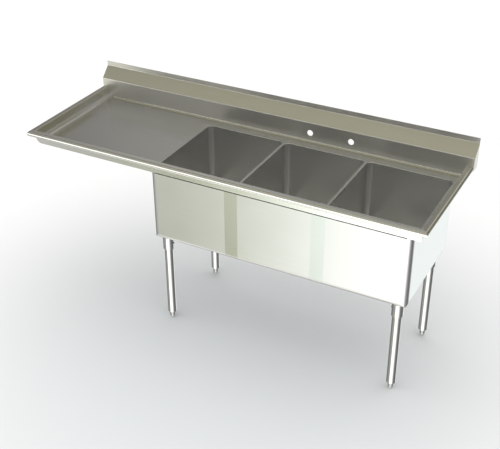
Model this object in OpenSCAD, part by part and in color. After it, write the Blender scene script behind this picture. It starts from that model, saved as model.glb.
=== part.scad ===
// Three compartment sink with a left drainboard, rolled rims, a backsplash and four legs.
// Millimetres, +X along the length, +Y towards the wall, +Z up.
// The origin is on the floor, under the middle of the outer box.

/* [Bowls] */
// Inner width of each bowl, along the length of the sink
bowl_w = 393; // [300:1:620]
// Inner size of each bowl from front to back
bowl_d = 520; // [420:1:700]
// Depth of each bowl below the deck
bowl_depth = 343; // [250:1:380]
// Inner radius of the coved bowl corners
bowl_r = 24; // [14:1:40]
// Thickness of the double wall between two bowls
partition_t = 14; // [8:1:40]
// Thickness of all the sheet metal
sheet = 1.6; // [1:0.1:2.5]
// Width of the strips that close the seams between the bowls
joint_strip_w = 55; // [40:1:56]

/* [Deck and rims] */
// Height of the rim above the floor
rim_h = 864; // [800:1:950]
// Depth of the deck and the drainboard below the rim
pan_depth = 57.5; // [45:0.5:90]
// Length of the drainboard, from the outer edge of its rim to the first bowl
drainboard_l = 652; // [400:1:950]
// Overhang of the right rim past the last bowl
right_reach = 63; // [50:1:150]
// Ledge between the bowls and the splash
ledge = 56; // [30:1:120]
// Overhang of the rolled rim past its wall
rim_reach = 29.5; // [28:0.5:45]
// Outer radius of the roll
roll_r = 13; // [8:0.5:13]
// Outer radius of the bend between the rim and its wall
rim_bend_r = 5; // [3:0.5:8]
// Inner radius of the cove at the left end of the drainboard
cove_r = 25; // [10:1:30]
// Radius of the edge where the deck turns down into a bowl
mouth_r = 4; // [2.6:0.1:5]

/* [Splash] */
// Height of the upright face above the deck
splash_face_h = 96; // [80:1:250]
// Rise of the sloped return, which leans back as far as it rises
splash_return = 50.5; // [20:0.5:80]
// Height of the upright strip at the top
splash_top_h = 24; // [10:1:60]
// Inner radius of the two bends
splash_bend_r = 4; // [2:0.5:10]
// Distance between the two faucet holes
faucet_spacing = 203.2; // [100:0.1:305]
// Diameter of the faucet holes
faucet_hole_d = 28.6; // [18:0.1:36]
// Height of the faucet holes above the deck
faucet_h = 45; // [30:1:60]

/* [Legs] */
// Outer diameter of the leg tube
leg_d = 41.3; // [34:0.1:45]
// Distance from the leg to the end of the bowls
leg_inset_x = 48; // [40:1:150]
// Distance from the front legs to the front of the bowls
leg_inset_front = 43; // [40:1:120]
// Distance from the back legs to the back of the bowls
leg_inset_back = 61; // [40:1:120]
// Wall of the leg socket round the tube
socket_wall = 4.6; // [3:0.1:8]
// Height of the leg socket
socket_h = 66; // [45:1:100]
// Thickness of the closed top of the leg socket
socket_cap = 6; // [4:1:10]
// Diameter of the set screw in each socket
set_screw_d = 8; // [5:0.5:10]
// How far the set screw stands out of the socket
set_screw_proud = 2.5; // [1:0.5:6]
// Height of the bullet foot below the leg
foot_h = 37; // [30:1:60]
// Diameter of the bullet foot at its top
foot_top_d = 25; // [22:0.5:41]
// Diameter of the bullet foot at the floor
foot_tip_d = 15; // [12:0.5:20]
// Diameter of the threaded stem of the foot
foot_stem_d = 16; // [10:0.5:20]
// Length of the threaded stem of the foot
foot_stem_l = 55; // [50:1:90]
// Height of the threaded insert in the foot of the leg
insert_h = 30; // [20:1:60]

/* [Drains] */
// Diameter of the drain hole in the bowl floor
drain_hole_d = 89; // [80:0.5:100]
// Outer diameter of the drain flange
drain_flange_d = 114; // [110:0.5:130]
// Depth of the pressed recess round the drain
drain_recess = 5; // [3:0.5:9]
// Depth of the drain cup below the bowl
cup_depth = 50; // [44:1:80]
// Wall of the drain cup
cup_wall = 1.6; // [1.2:0.1:2.5]
// Depth of the seat for the basket below the flange
seat_depth = 14; // [10:0.5:18]
// Outer diameter of the threaded outlet
outlet_d = 48.3; // [44:0.1:54]
// Length of the threaded outlet
outlet_l = 26; // [20:1:40]
// Outer diameter of the tailpiece
tail_d = 38.1; // [30:0.1:40]
// Length of the tailpiece
tail_l = 70; // [60:1:200]
// Thickness of the rubber gasket
gasket_t = 3; // [2:0.5:5]
// Thickness of the fibre friction washer
washer_t = 1; // [0.5:0.1:2]
// Height of the locknut
locknut_h = 9; // [6:1:14]
// Depth of the strainer basket
basket_depth = 24; // [16:1:28]
// Diameter of the basket's knob
knob_d = 18; // [12:1:24]
// Diameter of the holes in the basket
basket_hole_d = 5; // [3:0.5:6]

/* [Hidden] */
$fn = 96;
// Clearance of the feet's stems in their inserts
run_gap = 0.05;
// Clearance where a part that moves comes to rest
seat_gap = 0.3;
// Clearance between parts that are fixed to each other
fit_gap = 0.1;
// Extra length that takes a cut clear of the faces it passes
eps = 1;

bowl_count = 3;
pitch = bowl_w + partition_t;
bowls_l = bowl_count * bowl_w + (bowl_count - 1) * partition_t + 2 * sheet;
rim_wall = rim_reach + sheet;
length = drainboard_l + bowls_l + right_reach;
bowl_front_u = rim_wall + sheet;
splash_u = bowl_front_u + bowl_d + ledge;
depth = splash_u + splash_return + sheet;

// Outer ends, and the places of the bowls, along X
x_left = -length / 2;
x_right = length / 2;
x_bowls = x_left + drainboard_l;
x_deck = x_bowls - 2 * mouth_r;
function bowl_x(i) = x_bowls + sheet + bowl_w / 2 + i * pitch;
function seam_x(i) = bowl_x(i) + pitch / 2;

// Front edge, inner faces of the bowls and the face of the splash, along Y
y_front = -depth / 2;
y_bowl_front = y_front + bowl_front_u;
y_bowl_back = y_bowl_front + bowl_d;
y_bowl = (y_bowl_front + y_bowl_back) / 2;
y_splash = y_front + splash_u;

// Levels, along Z
z_deck = rim_h - pan_depth;
z_under = z_deck - sheet;
z_mouth = z_deck - mouth_r;
z_floor = z_deck - bowl_depth;
z_bottom = z_floor - sheet;
z_roll_low = rim_h - 2 * roll_r;
z_splash_bend = z_deck + splash_face_h;
z_splash_top = z_splash_bend + splash_return + splash_top_h;

// Splash section, from its face: slope, and the centres of the lower and the upper bend
splash_slope = 45;
bend_steps = 6;
splash_low = [splash_bend_r + sheet, z_splash_bend - (splash_bend_r + sheet) * tan(splash_slope / 2)];
splash_high = [
  splash_return - splash_bend_r,
  z_splash_bend + splash_return + splash_bend_r * tan(splash_slope / 2)
];

// Outer radius of the bowl corners, rise of the bowl's tab behind the front wall, and the length
// of a seam strip under the bowl floor
bowl_out_r = bowl_r + sheet;
front_lap = 12;
strip_turn = 20;

// Legs
leg_r = leg_d / 2;
leg_bore_r = leg_r - sheet;
socket_bore_r = leg_r + fit_gap;
socket_r = socket_bore_r + socket_wall;
leg_xs = [x_bowls + leg_inset_x, x_bowls + bowls_l - leg_inset_x];
leg_ys = [y_bowl_front - sheet + leg_inset_front, y_bowl_back + sheet - leg_inset_back];
z_socket = z_bottom - socket_h;
screw_drop = socket_h / 2;
foot_edge = 2;
foot_taper = 0.75;
foot_steps = 8;

// Drains
cup_play = 1.5;
cup_r = drain_hole_d / 2 - cup_play;
cup_bore_r = cup_r - cup_wall;
seat_step = 3;
flange_t = 2;
recess_margin = 5;
recess_r = drain_flange_d / 2 + recess_margin;
z_recess = z_floor - drain_recess;
z_recess_low = z_recess - sheet;
z_cup_low = z_recess - cup_depth;
z_outlet_low = z_cup_low - outlet_l;
outlet_wall = 2.6;
outlet_bore_r = outlet_d / 2 - outlet_wall;
nut_ring = 13;
coupling_h = 20;
coupling_wall = 6;
coupling_lip = 4;
nut_sides = 6;
tail_neck = 0.3;
tail_flange_step = 1;
tail_flange_r = outlet_d / 2 - tail_flange_step;
tail_flange_t = 3;
basket_r = cup_bore_r - seat_step - seat_gap;
basket_rim_r = cup_bore_r - seat_gap;
basket_t = 1.2;
z_seat = z_recess + flange_t - seat_depth;
z_basket_low = z_seat + seat_gap - basket_depth;
knob_r = knob_d / 2;
knob_h = 8;
knob_rise = 22;
post_r = 3;
basket_hole_count = 12;
hole_ring = 0.68;
stopper_lap = 1.5;
stopper_r = outlet_bore_r + stopper_lap;
stopper_t = 4;

// Flat rectangle with four round corners
module round_rect(w, d, r) {
  square([w - 2 * r, d], center = true);
  square([w, d - 2 * r], center = true);
  for (sx = [-1, 1], sy = [-1, 1])
    translate([sx * (w / 2 - r), sy * (d / 2 - r)]) circle(r);
}

// Flat outline with round lower corners, standing on the origin
module round_foot(w, h, r) {
  translate([-w / 2, r]) square([w, h - r]);
  translate([-w / 2 + r, 0]) square([w - 2 * r, h]);
  for (s = [-1, 1]) translate([s * (w / 2 - r), r]) circle(r);
}

// Block that is round at its upright edges and along its bottom
module coved_block(w, d, h, r) {
  intersection() {
    linear_extrude(h) round_rect(w, d, r);
    translate([0, d / 2, 0]) rotate([90, 0, 0]) linear_extrude(d) round_foot(w, h, r);
    translate([-w / 2, 0, 0]) rotate([90, 0, 90]) linear_extrude(w) round_foot(d, h, r);
  }
}

// Section of a rim: wall, bend, flat top and half-round roll, from the outer edge inwards
module rim_section(z_low) {
  z_bend = rim_h - rim_bend_r;
  u_bend = rim_wall - rim_bend_r;
  translate([rim_reach, z_low]) square([sheet, z_bend - z_low]);
  translate([u_bend, z_bend]) intersection() {
    difference() {
      circle(rim_bend_r);
      circle(rim_bend_r - sheet);
    }
    square(rim_bend_r);
  }
  translate([roll_r, rim_h - sheet]) square([u_bend - roll_r, sheet]);
  translate([roll_r, rim_h - roll_r]) intersection() {
    difference() {
      circle(roll_r);
      circle(roll_r - sheet);
    }
    translate([-roll_r, -roll_r]) square([roll_r, 2 * roll_r]);
  }
}

// Plan of the front rim, mitred at both ends
module front_rim_plan() {
  polygon([
    [x_left, y_front],
    [x_right, y_front],
    [x_right - rim_wall, y_front + rim_wall],
    [x_left + rim_wall, y_front + rim_wall]
  ]);
}

// Plan of a side rim, mitred at the front; side is -1 for the left and 1 for the right
module side_rim_plan(side) {
  x_edge = side * length / 2;
  x_wall = x_edge - side * rim_wall;
  polygon([
    [x_edge, y_front],
    [x_wall, y_front + rim_wall],
    [x_wall, y_splash],
    [x_edge, y_splash]
  ]);
}

// Outside of the cove at the left end of the drainboard, which the front wall follows
module left_cove_corner() {
  translate([x_left + rim_reach, z_mouth]) difference() {
    square(cove_r + sheet);
    translate([cove_r + sheet, cove_r + sheet]) circle(cove_r + sheet);
  }
}

module front_rim() {
  color("gainsboro") difference() {
    intersection() {
      translate([x_left, y_front, 0])
        rotate([90, 0, 90]) linear_extrude(length) rim_section(z_mouth);
      linear_extrude(rim_h + eps) front_rim_plan();
    }
    translate([0, y_front + rim_wall + eps, 0])
      rotate([90, 0, 0]) linear_extrude(sheet + 2 * eps) left_cove_corner();
  }
}

module left_rim() {
  color("gainsboro") intersection() {
    translate([x_left, y_splash, 0])
      rotate([90, 0, 0]) linear_extrude(splash_u) rim_section(z_deck + cove_r);
    linear_extrude(rim_h + eps) side_rim_plan(-1);
  }
}

module right_rim() {
  color("gainsboro") intersection() {
    translate([x_right, y_splash, 0]) mirror([1, 0, 0])
      rotate([90, 0, 0]) linear_extrude(splash_u) rim_section(z_under);
    linear_extrude(rim_h + eps) side_rim_plan(1);
  }
}

// Pan floor, turned up in a cove at its left end
module drainboard() {
  x_flat = x_left + rim_wall + cove_r;
  pan_d = splash_u - rim_wall;
  color("silver") translate([0, y_splash, 0]) rotate([90, 0, 0]) linear_extrude(pan_d) {
    translate([x_flat, z_under]) square([x_deck - x_flat, sheet]);
    translate([x_flat, z_deck + cove_r]) intersection() {
      difference() {
        circle(cove_r + sheet);
        circle(cove_r);
      }
      translate([-cove_r - sheet, -cove_r - sheet]) square(cove_r + sheet);
    }
  }
}

// Hat channel that carries the overhanging drainboard
module drainboard_stiffener() {
  hat_w = 60;
  hat_h = 25;
  flange_w = 18;
  end_gap = 60;
  x_start = x_left + rim_wall + end_gap;
  color("darkgray") translate([x_start, y_bowl, z_under])
    rotate([90, 0, 90]) linear_extrude(x_deck - x_start) {
      difference() {
        translate([-hat_w / 2, -hat_h]) square([hat_w, hat_h]);
        translate([-hat_w / 2 + sheet, -hat_h + sheet]) square([hat_w - 2 * sheet, hat_h]);
      }
      for (s = [-1, 1]) translate([s * (hat_w + flange_w - sheet) / 2, -sheet / 2])
        square([flange_w + sheet, sheet], center = true);
    }
}

// Quarter of a bent sheet, from level at the top to upright on the right
module mouth_section() {
  intersection() {
    difference() {
      circle(mouth_r);
      circle(mouth_r - sheet);
    }
    square(mouth_r);
  }
}

// Edge of a bowl mouth: the sheet turns down along the sides and round the corners
module mouth_edge() {
  side_l = bowl_d - 2 * bowl_r;
  back_l = bowl_w - 2 * bowl_r;
  corner = bowl_r + mouth_r;
  for (s = [0, 1]) mirror([s, 0, 0]) {
    translate([-bowl_w / 2 - mouth_r, side_l / 2, z_mouth])
      rotate([90, 0, 0]) linear_extrude(side_l) mouth_section();
    for (t = [0, 1]) mirror([0, t, 0])
      translate([-back_l / 2, -side_l / 2, z_mouth]) intersection() {
        rotate(180) rotate_extrude(angle = 90)
          translate([corner, 0]) mirror([1, 0]) mouth_section();
        translate([-corner, t == 0 ? -bowl_out_r : -corner, 0]) cube([corner, corner, mouth_r]);
      }
  }
  translate([-back_l / 2, bowl_d / 2 + mouth_r, z_mouth])
    rotate([90, 0, 90]) linear_extrude(back_l) mirror([1, 0]) mouth_section();
}

// Sheet round the bowl openings: back ledge, right ledge and the tops of the partitions
module bowl_deck() {
  deck_l = x_right - rim_wall - x_deck;
  deck_d = splash_u - rim_wall;
  flat_w = bowl_w + 2 * mouth_r;
  flat_d = bowl_d + 2 * mouth_r;
  color("silver") {
    translate([0, 0, z_under]) linear_extrude(sheet) difference() {
      translate([x_deck, y_front + rim_wall]) square([deck_l, deck_d]);
      for (i = [0 : bowl_count - 1]) translate([bowl_x(i), 0]) {
        translate([0, y_bowl]) round_rect(flat_w, flat_d, bowl_r + mouth_r);
        translate([-bowl_w / 2 + bowl_r, y_bowl_front - mouth_r - eps])
          square([bowl_w - 2 * bowl_r, bowl_r + mouth_r + eps]);
      }
    }
    for (i = [0 : bowl_count - 1]) translate([bowl_x(i), y_bowl, 0]) mouth_edge();
  }
}

// One coved bowl with its drain recess and the tab that laps behind the front rim
module bowl(i) {
  bowl_h = z_mouth - z_bottom;
  color("lightgray") translate([bowl_x(i), y_bowl, 0]) {
    difference() {
      union() {
        translate([0, 0, z_bottom])
          coved_block(bowl_w + 2 * sheet, bowl_d + 2 * sheet, bowl_h, bowl_out_r);
        translate([0, 0, z_recess_low]) cylinder(r = recess_r + sheet, h = drain_recess + sheet);
      }
      translate([0, 0, z_floor]) coved_block(bowl_w, bowl_d, bowl_h, bowl_r);
      translate([0, 0, z_recess]) cylinder(r = recess_r, h = drain_recess + eps);
      translate([0, 0, z_recess_low - eps]) cylinder(d = drain_hole_d, h = sheet + 2 * eps);
    }
    translate([-bowl_w / 2 + bowl_r, -bowl_d / 2 - sheet, z_deck - front_lap])
      cube([bowl_w - 2 * bowl_r, sheet, 2 * front_lap]);
  }
}

// Section of a seam strip: upright on the bowl face, round the bottom edge and under the floor
module strip_section(side) {
  bowl_h = z_mouth - z_bottom;
  face = bowl_d / 2 + sheet;
  reach = bowl_out_r + strip_turn;
  intersection() {
    difference() {
      round_foot(bowl_d + 2 * sheet, bowl_h, bowl_out_r);
      translate([0, sheet]) round_foot(bowl_d, bowl_h, bowl_r);
    }
    translate([side < 0 ? -face : face - reach, 0]) square([reach, bowl_h]);
  }
}

// Strip over the seam between bowls i and i + 1; side is -1 at the front and 1 at the back
module joint_strip(i, side) {
  bowl_h = z_mouth - z_bottom;
  grow = 2 * (sheet + fit_gap);
  color("silver") difference() {
    translate([seam_x(i) - joint_strip_w / 2, y_bowl, z_bottom])
      rotate([90, 0, 90]) linear_extrude(joint_strip_w) strip_section(side);
    for (k = [i, i + 1]) translate([bowl_x(k), y_bowl, z_bottom - fit_gap])
      coved_block(bowl_w + grow, bowl_d + grow, bowl_h + 2 * eps, bowl_out_r + fit_gap);
  }
}

// Points on an arc about c with radius r, from angle a0 to a1
function arc(c, r, a0, a1) = [for (k = [0 : bend_steps]) let(a = a0 + (a1 - a0) * k / bend_steps)
  c + r * [cos(a), sin(a)]];

// Section of the splash: upright face, sloped return and upright top strip, with round bends
module splash_section() {
  out_r = splash_bend_r + sheet;
  front = concat(
    [[0, z_under]],
    arc(splash_low, out_r, 180, 180 - splash_slope),
    arc(splash_high, splash_bend_r, -splash_slope, 0),
    [[splash_return, z_splash_top]]
  );
  back = concat(
    [[splash_return + sheet, z_splash_top]],
    arc(splash_high, out_r, 0, -splash_slope),
    arc(splash_low, splash_bend_r, 180 - splash_slope, 180),
    [[sheet, z_under]]
  );
  polygon(concat(front, back));
}

module backsplash() {
  end_cut_h = z_roll_low - z_under;
  color("darkkhaki") difference() {
    translate([x_left, y_splash, 0]) rotate([90, 0, 90]) linear_extrude(length) splash_section();
    for (s = [-1, 1]) translate([bowl_x(1) + s * faucet_spacing / 2, y_splash, z_deck + faucet_h])
      rotate([90, 0, 0]) cylinder(d = faucet_hole_d, h = 4 * sheet, center = true);
    for (x = [x_left, x_right - rim_reach])
      translate([x, y_splash - eps, z_under]) cube([rim_reach, sheet + 2 * eps, end_cut_h]);
  }
}

// Plate that closes an end of the splash behind the slope; x is its left face
module splash_end(x) {
  y_back = splash_return + sheet;
  z_back = z_splash_bend + y_back - sheet / cos(splash_slope);
  slope_start = splash_low + splash_bend_r * [-cos(splash_slope), sin(splash_slope)];
  color("gainsboro") translate([x, y_splash, 0]) rotate([90, 0, 90]) linear_extrude(sheet)
    polygon([
      [sheet, z_roll_low],
      [sheet, splash_low[1]],
      slope_start,
      [y_back, z_back],
      [y_back, z_roll_low]
    ]);
}

// Cup that takes the top of a leg, with the hole for its set screw; side points inwards
module socket(x, y, side) {
  color("gray") translate([x, y, z_socket]) difference() {
    cylinder(r = socket_r, h = socket_h);
    translate([0, 0, -eps]) cylinder(r = socket_bore_r, h = socket_h - socket_cap + eps);
    translate([0, 0, screw_drop]) rotate([0, side * 90, 0])
      cylinder(d = set_screw_d + 2 * fit_gap, h = socket_r + eps);
  }
}

module socket_set_screws() {
  screw_l = socket_r + set_screw_proud - leg_r - fit_gap;
  color("dimgray") for (i = [0, 1], y = leg_ys) {
    side = 1 - 2 * i;
    translate([leg_xs[i], y, z_socket + screw_drop]) rotate([0, side * 90, 0])
      translate([0, 0, leg_r + fit_gap]) difference() {
        cylinder(d = set_screw_d, h = screw_l);
        translate([0, 0, screw_l / 2]) cylinder(d = set_screw_d / 2, h = screw_l, $fn = nut_sides);
      }
  }
}

module leg(x, y) {
  leg_l = z_bottom - socket_cap - foot_h;
  color("silver") translate([x, y, foot_h]) difference() {
    cylinder(r = leg_r, h = leg_l);
    translate([0, 0, -eps]) cylinder(r = leg_bore_r, h = leg_l + 2 * eps);
  }
}

module insert(x, y) {
  color("dimgray") translate([x, y, foot_h]) difference() {
    cylinder(r = leg_bore_r - fit_gap, h = insert_h);
    translate([0, 0, -eps]) cylinder(d = foot_stem_d + 2 * run_gap, h = insert_h + 2 * eps);
  }
}

// Bullet foot with its threaded stem: a flat tip, a swelling side and a straight collar
module foot(x, y) {
  body_h = foot_h - seat_gap;
  side_h = body_h * foot_taper;
  swell = (foot_top_d - foot_tip_d) / 2;
  side = [for (k = [0 : foot_steps]) let(a = 90 * k / foot_steps)
    [foot_tip_d / 2 + swell * sin(a), foot_edge + (side_h - foot_edge) * (1 - cos(a))]];
  tip = [[0, 0], [foot_tip_d / 2 - foot_edge, 0]];
  top = [[foot_top_d / 2, body_h], [0, body_h]];
  color("gray") translate([x, y, 0]) {
    rotate_extrude() polygon(concat(tip, side, top));
    translate([0, 0, body_h]) cylinder(d = foot_stem_d, h = foot_stem_l);
  }
}

// Flanged cup in the bowl floor with the seat for the basket and the threaded outlet
module drain_cup(i) {
  color("silver") translate([bowl_x(i), y_bowl, 0]) difference() {
    union() {
      translate([0, 0, z_recess]) cylinder(d = drain_flange_d, h = flange_t);
      translate([0, 0, z_cup_low]) cylinder(r = cup_r, h = cup_depth);
      translate([0, 0, z_outlet_low]) cylinder(d = outlet_d, h = outlet_l);
    }
    translate([0, 0, z_seat]) cylinder(r = cup_bore_r, h = seat_depth + eps);
    translate([0, 0, z_cup_low + cup_wall]) cylinder(r = cup_bore_r - seat_step, h = cup_depth);
    translate([0, 0, z_outlet_low - eps])
      cylinder(r = outlet_bore_r, h = outlet_l + cup_wall + 2 * eps);
  }
}

// Flat ring round the drain cup, from z_top downwards
module drain_ring(i, z_top, t, outer_r) {
  translate([bowl_x(i), y_bowl, z_top - t]) difference() {
    cylinder(r = outer_r, h = t);
    translate([0, 0, -eps]) cylinder(r = cup_r + fit_gap, h = t + 2 * eps);
  }
}

module gasket(i) {
  color("black") drain_ring(i, z_recess_low, gasket_t, drain_flange_d / 2);
}

module friction_washer(i) {
  color("tan") drain_ring(i, z_recess_low - gasket_t, washer_t, drain_flange_d / 2);
}

// Locknut with lugs for a spanner
module locknut(i) {
  z_top = z_recess_low - gasket_t - washer_t;
  lug_count = 6;
  lug_w = 12;
  lug_out = 4;
  color("goldenrod") {
    drain_ring(i, z_top, locknut_h, cup_r + nut_ring);
    translate([bowl_x(i), y_bowl, z_top - locknut_h]) for (k = [0 : lug_count - 1])
      rotate(k * 360 / lug_count) translate([cup_r + nut_ring - lug_out, -lug_w / 2, 0])
        cube([2 * lug_out, lug_w, locknut_h]);
  }
}

// Tube under the outlet, hung by its flange in the coupling nut and necked where it passes through
module tailpiece(i) {
  neck_l = coupling_lip + eps;
  color("silver") translate([bowl_x(i), y_bowl, z_outlet_low - tail_l]) difference() {
    union() {
      cylinder(d = tail_d, h = tail_l - tail_flange_t - neck_l);
      cylinder(r = tail_d / 2 - tail_neck, h = tail_l);
      translate([0, 0, tail_l - tail_flange_t]) cylinder(r = tail_flange_r, h = tail_flange_t);
    }
    translate([0, 0, -eps]) cylinder(d = tail_d - 2 * sheet, h = tail_l + 2 * eps);
  }
}

module coupling_nut(i) {
  outer_r = outlet_d / 2 + coupling_wall;
  z_lip_top = z_outlet_low - tail_flange_t;
  color("goldenrod") translate([bowl_x(i), y_bowl, z_lip_top - coupling_lip]) difference() {
    cylinder(r = outer_r / cos(180 / nut_sides), h = coupling_h, $fn = nut_sides);
    translate([0, 0, coupling_lip]) cylinder(d = outlet_d + 2 * fit_gap, h = coupling_h);
    translate([0, 0, -eps]) cylinder(d = tail_d + 2 * fit_gap, h = coupling_lip + 2 * eps);
  }
}

// Lift-out basket: rim and perforated dish
module basket(i) {
  rim_t = 2;
  z_rim = z_seat + seat_gap;
  hole_ring_r = basket_r * hole_ring;
  color("lightgray") translate([bowl_x(i), y_bowl, z_basket_low]) difference() {
    union() {
      cylinder(r = basket_r, h = basket_depth);
      translate([0, 0, z_rim - z_basket_low]) cylinder(r = basket_rim_r, h = rim_t);
    }
    translate([0, 0, basket_t]) cylinder(r = basket_r - basket_t, h = basket_depth + rim_t);
    for (k = [0 : basket_hole_count - 1]) rotate(k * 360 / basket_hole_count)
      translate([hole_ring_r, 0, -eps]) cylinder(d = basket_hole_d, h = basket_t + 2 * eps);
  }
}

// Knob on its post, which stands on the floor of the basket
module basket_knob(i) {
  post_h = z_recess + knob_rise - z_basket_low - basket_t;
  color("lightgray") translate([bowl_x(i), y_bowl, z_basket_low + basket_t]) {
    cylinder(r = post_r, h = post_h);
    translate([0, 0, post_h]) cylinder(r = knob_r, h = knob_h);
  }
}

// Rubber disc under the basket
module stopper(i) {
  color("black") translate([bowl_x(i), y_bowl, z_basket_low - stopper_t])
    cylinder(r = stopper_r, h = stopper_t);
}

front_rim();
left_rim();
right_rim();
drainboard();
drainboard_stiffener();
bowl_deck();
bowl(0);  // left_bowl
bowl(1);  // middle_bowl
bowl(2);  // right_bowl
joint_strip(0, -1);  // front_left_joint_strip
joint_strip(1, -1);  // front_right_joint_strip
joint_strip(0, 1);  // rear_left_joint_strip
joint_strip(1, 1);  // rear_right_joint_strip
backsplash();
splash_end(x_left);  // left_splash_end
splash_end(x_right - sheet);  // right_splash_end
socket(leg_xs[0], leg_ys[0], 1);  // front_left_socket
socket(leg_xs[1], leg_ys[0], -1);  // front_right_socket
socket(leg_xs[0], leg_ys[1], 1);  // back_left_socket
socket(leg_xs[1], leg_ys[1], -1);  // back_right_socket
socket_set_screws();
leg(leg_xs[0], leg_ys[0]);  // front_left_leg
leg(leg_xs[1], leg_ys[0]);  // front_right_leg
leg(leg_xs[0], leg_ys[1]);  // back_left_leg
leg(leg_xs[1], leg_ys[1]);  // back_right_leg
insert(leg_xs[0], leg_ys[0]);  // front_left_insert
insert(leg_xs[1], leg_ys[0]);  // front_right_insert
insert(leg_xs[0], leg_ys[1]);  // back_left_insert
insert(leg_xs[1], leg_ys[1]);  // back_right_insert
foot(leg_xs[0], leg_ys[0]);  // front_left_foot
foot(leg_xs[1], leg_ys[0]);  // front_right_foot
foot(leg_xs[0], leg_ys[1]);  // back_left_foot
foot(leg_xs[1], leg_ys[1]);  // back_right_foot
drain_cup(0);  // left_drain_cup
drain_cup(1);  // middle_drain_cup
drain_cup(2);  // right_drain_cup
gasket(0);  // left_gasket
gasket(1);  // middle_gasket
gasket(2);  // right_gasket
friction_washer(0);  // left_friction_washer
friction_washer(1);  // middle_friction_washer
friction_washer(2);  // right_friction_washer
locknut(0);  // left_locknut
locknut(1);  // middle_locknut
locknut(2);  // right_locknut
tailpiece(0);  // left_tailpiece
tailpiece(1);  // middle_tailpiece
tailpiece(2);  // right_tailpiece
coupling_nut(0);  // left_coupling_nut
coupling_nut(1);  // middle_coupling_nut
coupling_nut(2);  // right_coupling_nut
basket(0);  // left_basket
basket(1);  // middle_basket
basket(2);  // right_basket
basket_knob(0);  // left_basket_knob
basket_knob(1);  // middle_basket_knob
basket_knob(2);  // right_basket_knob
stopper(0);  // left_stopper
stopper(1);  // middle_stopper
stopper(2);  // right_stopper
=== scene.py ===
import math

import bmesh
import bpy
from mathutils import Matrix, Vector


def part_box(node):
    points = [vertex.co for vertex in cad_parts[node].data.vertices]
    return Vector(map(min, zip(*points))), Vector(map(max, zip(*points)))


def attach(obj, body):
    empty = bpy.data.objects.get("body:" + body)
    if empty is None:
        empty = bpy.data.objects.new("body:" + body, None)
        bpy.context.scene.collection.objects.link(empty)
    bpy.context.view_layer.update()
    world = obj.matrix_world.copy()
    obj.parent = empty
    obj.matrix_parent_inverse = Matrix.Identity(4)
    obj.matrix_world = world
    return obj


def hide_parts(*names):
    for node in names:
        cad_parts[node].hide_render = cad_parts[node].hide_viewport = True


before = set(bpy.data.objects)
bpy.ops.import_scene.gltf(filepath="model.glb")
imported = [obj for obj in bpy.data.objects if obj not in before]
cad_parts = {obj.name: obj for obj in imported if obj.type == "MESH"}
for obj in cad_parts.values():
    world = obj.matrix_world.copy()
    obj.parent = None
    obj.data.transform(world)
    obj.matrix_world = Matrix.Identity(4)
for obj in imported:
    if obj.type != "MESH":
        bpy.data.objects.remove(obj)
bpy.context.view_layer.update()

bl_info = {
    "name": "Three compartment sink",
    "version": (1, 0, 0),
    "blender": (4, 5, 0),
    "location": "3D View > Sidebar > Sink",
    "description": "Finishes, small parts and studio for the packed sink",
    "category": "Object",
}

MM = 0.001
BOWLS = ("left", "middle", "right")
LEGS = ("front_left", "front_right", "back_left", "back_right")


def linear(text):
    """Linear colour of an sRGB hex value."""
    parts = [int(text[i:i + 2], 16) / 255 for i in (1, 3, 5)]
    return [c / 12.92 if c <= 0.04045 else ((c + 0.055) / 1.055) ** 2.4 for c in parts]


def centre(node):
    """Middle of a CAD node's box."""
    low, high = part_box(node)
    return (Vector(low) + Vector(high)) / 2


def quarter(steps):
    """Angles of a quarter turn, from 0 to 90 degrees."""
    return [math.pi / 2 * k / steps for k in range(steps + 1)]


def full_turn(steps):
    """Angles of a full turn, without the last, which is the first again."""
    return [2 * math.pi * k / steps for k in range(steps)]


def colour(name, text, about):
    """Colour property with an sRGB hex default."""
    return bpy.props.FloatVectorProperty(
        name=name, description=about, subtype="COLOR", size=3, min=0, max=1, default=linear(text))


def length(name, mm, about):
    """Length property with a default in millimetres."""
    return bpy.props.FloatProperty(
        name=name, description=about, subtype="DISTANCE", unit="LENGTH", min=0, default=mm * MM)


class SinkFinish(bpy.types.PropertyGroup):
    """Colours and gloss of the sink's materials."""
    sheet: colour("Sheet", "#D2D2D0", "Brushed stainless of deck and drainboard")
    bowl: colour("Bowl", "#E0E0DE", "Brushed stainless of the bowls, brighter than the deck")
    rim: colour("Front rim", "#ECECE8", "Brushed stainless of the front rim, polished brighter")
    # Painted shade: the end rims are the front rim's stainless, painted darker and warmer for the
    # darker reflections they show
    shaded_end_rim: colour("End rims", "#D0CEC4", "Brushed stainless of the left and right rim")
    splash: colour("Splash", "#D5D4CD", "Brushed stainless of the splash")
    seam: colour("Seam", "#BFC0B7", "Ground weld of the joint strips, and the stiffener")
    tube: colour("Tube", "#DADAD7", "Polished stainless of legs, sockets and baskets")
    foot: colour("Foot", "#B9B9B6", "Turned metal of the feet and leg inserts")
    chrome: colour("Chrome", "#DDDDDD", "Plating of the drains")
    brass: colour("Brass", "#C9A55F", "Nuts under the bowls")
    rubber: colour("Rubber", "#1C1C1C", "Gaskets and stoppers")
    fibre: colour("Fibre", "#9A7A58", "Friction washers")
    screw: colour("Screw", "#4A4A4A", "Oil blackened set screws")
    weld: colour("Weld", "#B9B3A6", "Weld beads at the leg sockets")
    # Painted shade: the near-black colour of the front weld stands in for the shadow line below the
    # rim's skirt
    rim_shadow_weld: colour("Seam weld", "#3F3D38", "Weld below the front rim, darkened by heat")
    sheet_roughness: bpy.props.FloatProperty(
        name="Sheet roughness", description="Gloss of the brushed sheet", subtype="FACTOR",
        min=0.05, max=1, default=0.24)


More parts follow.
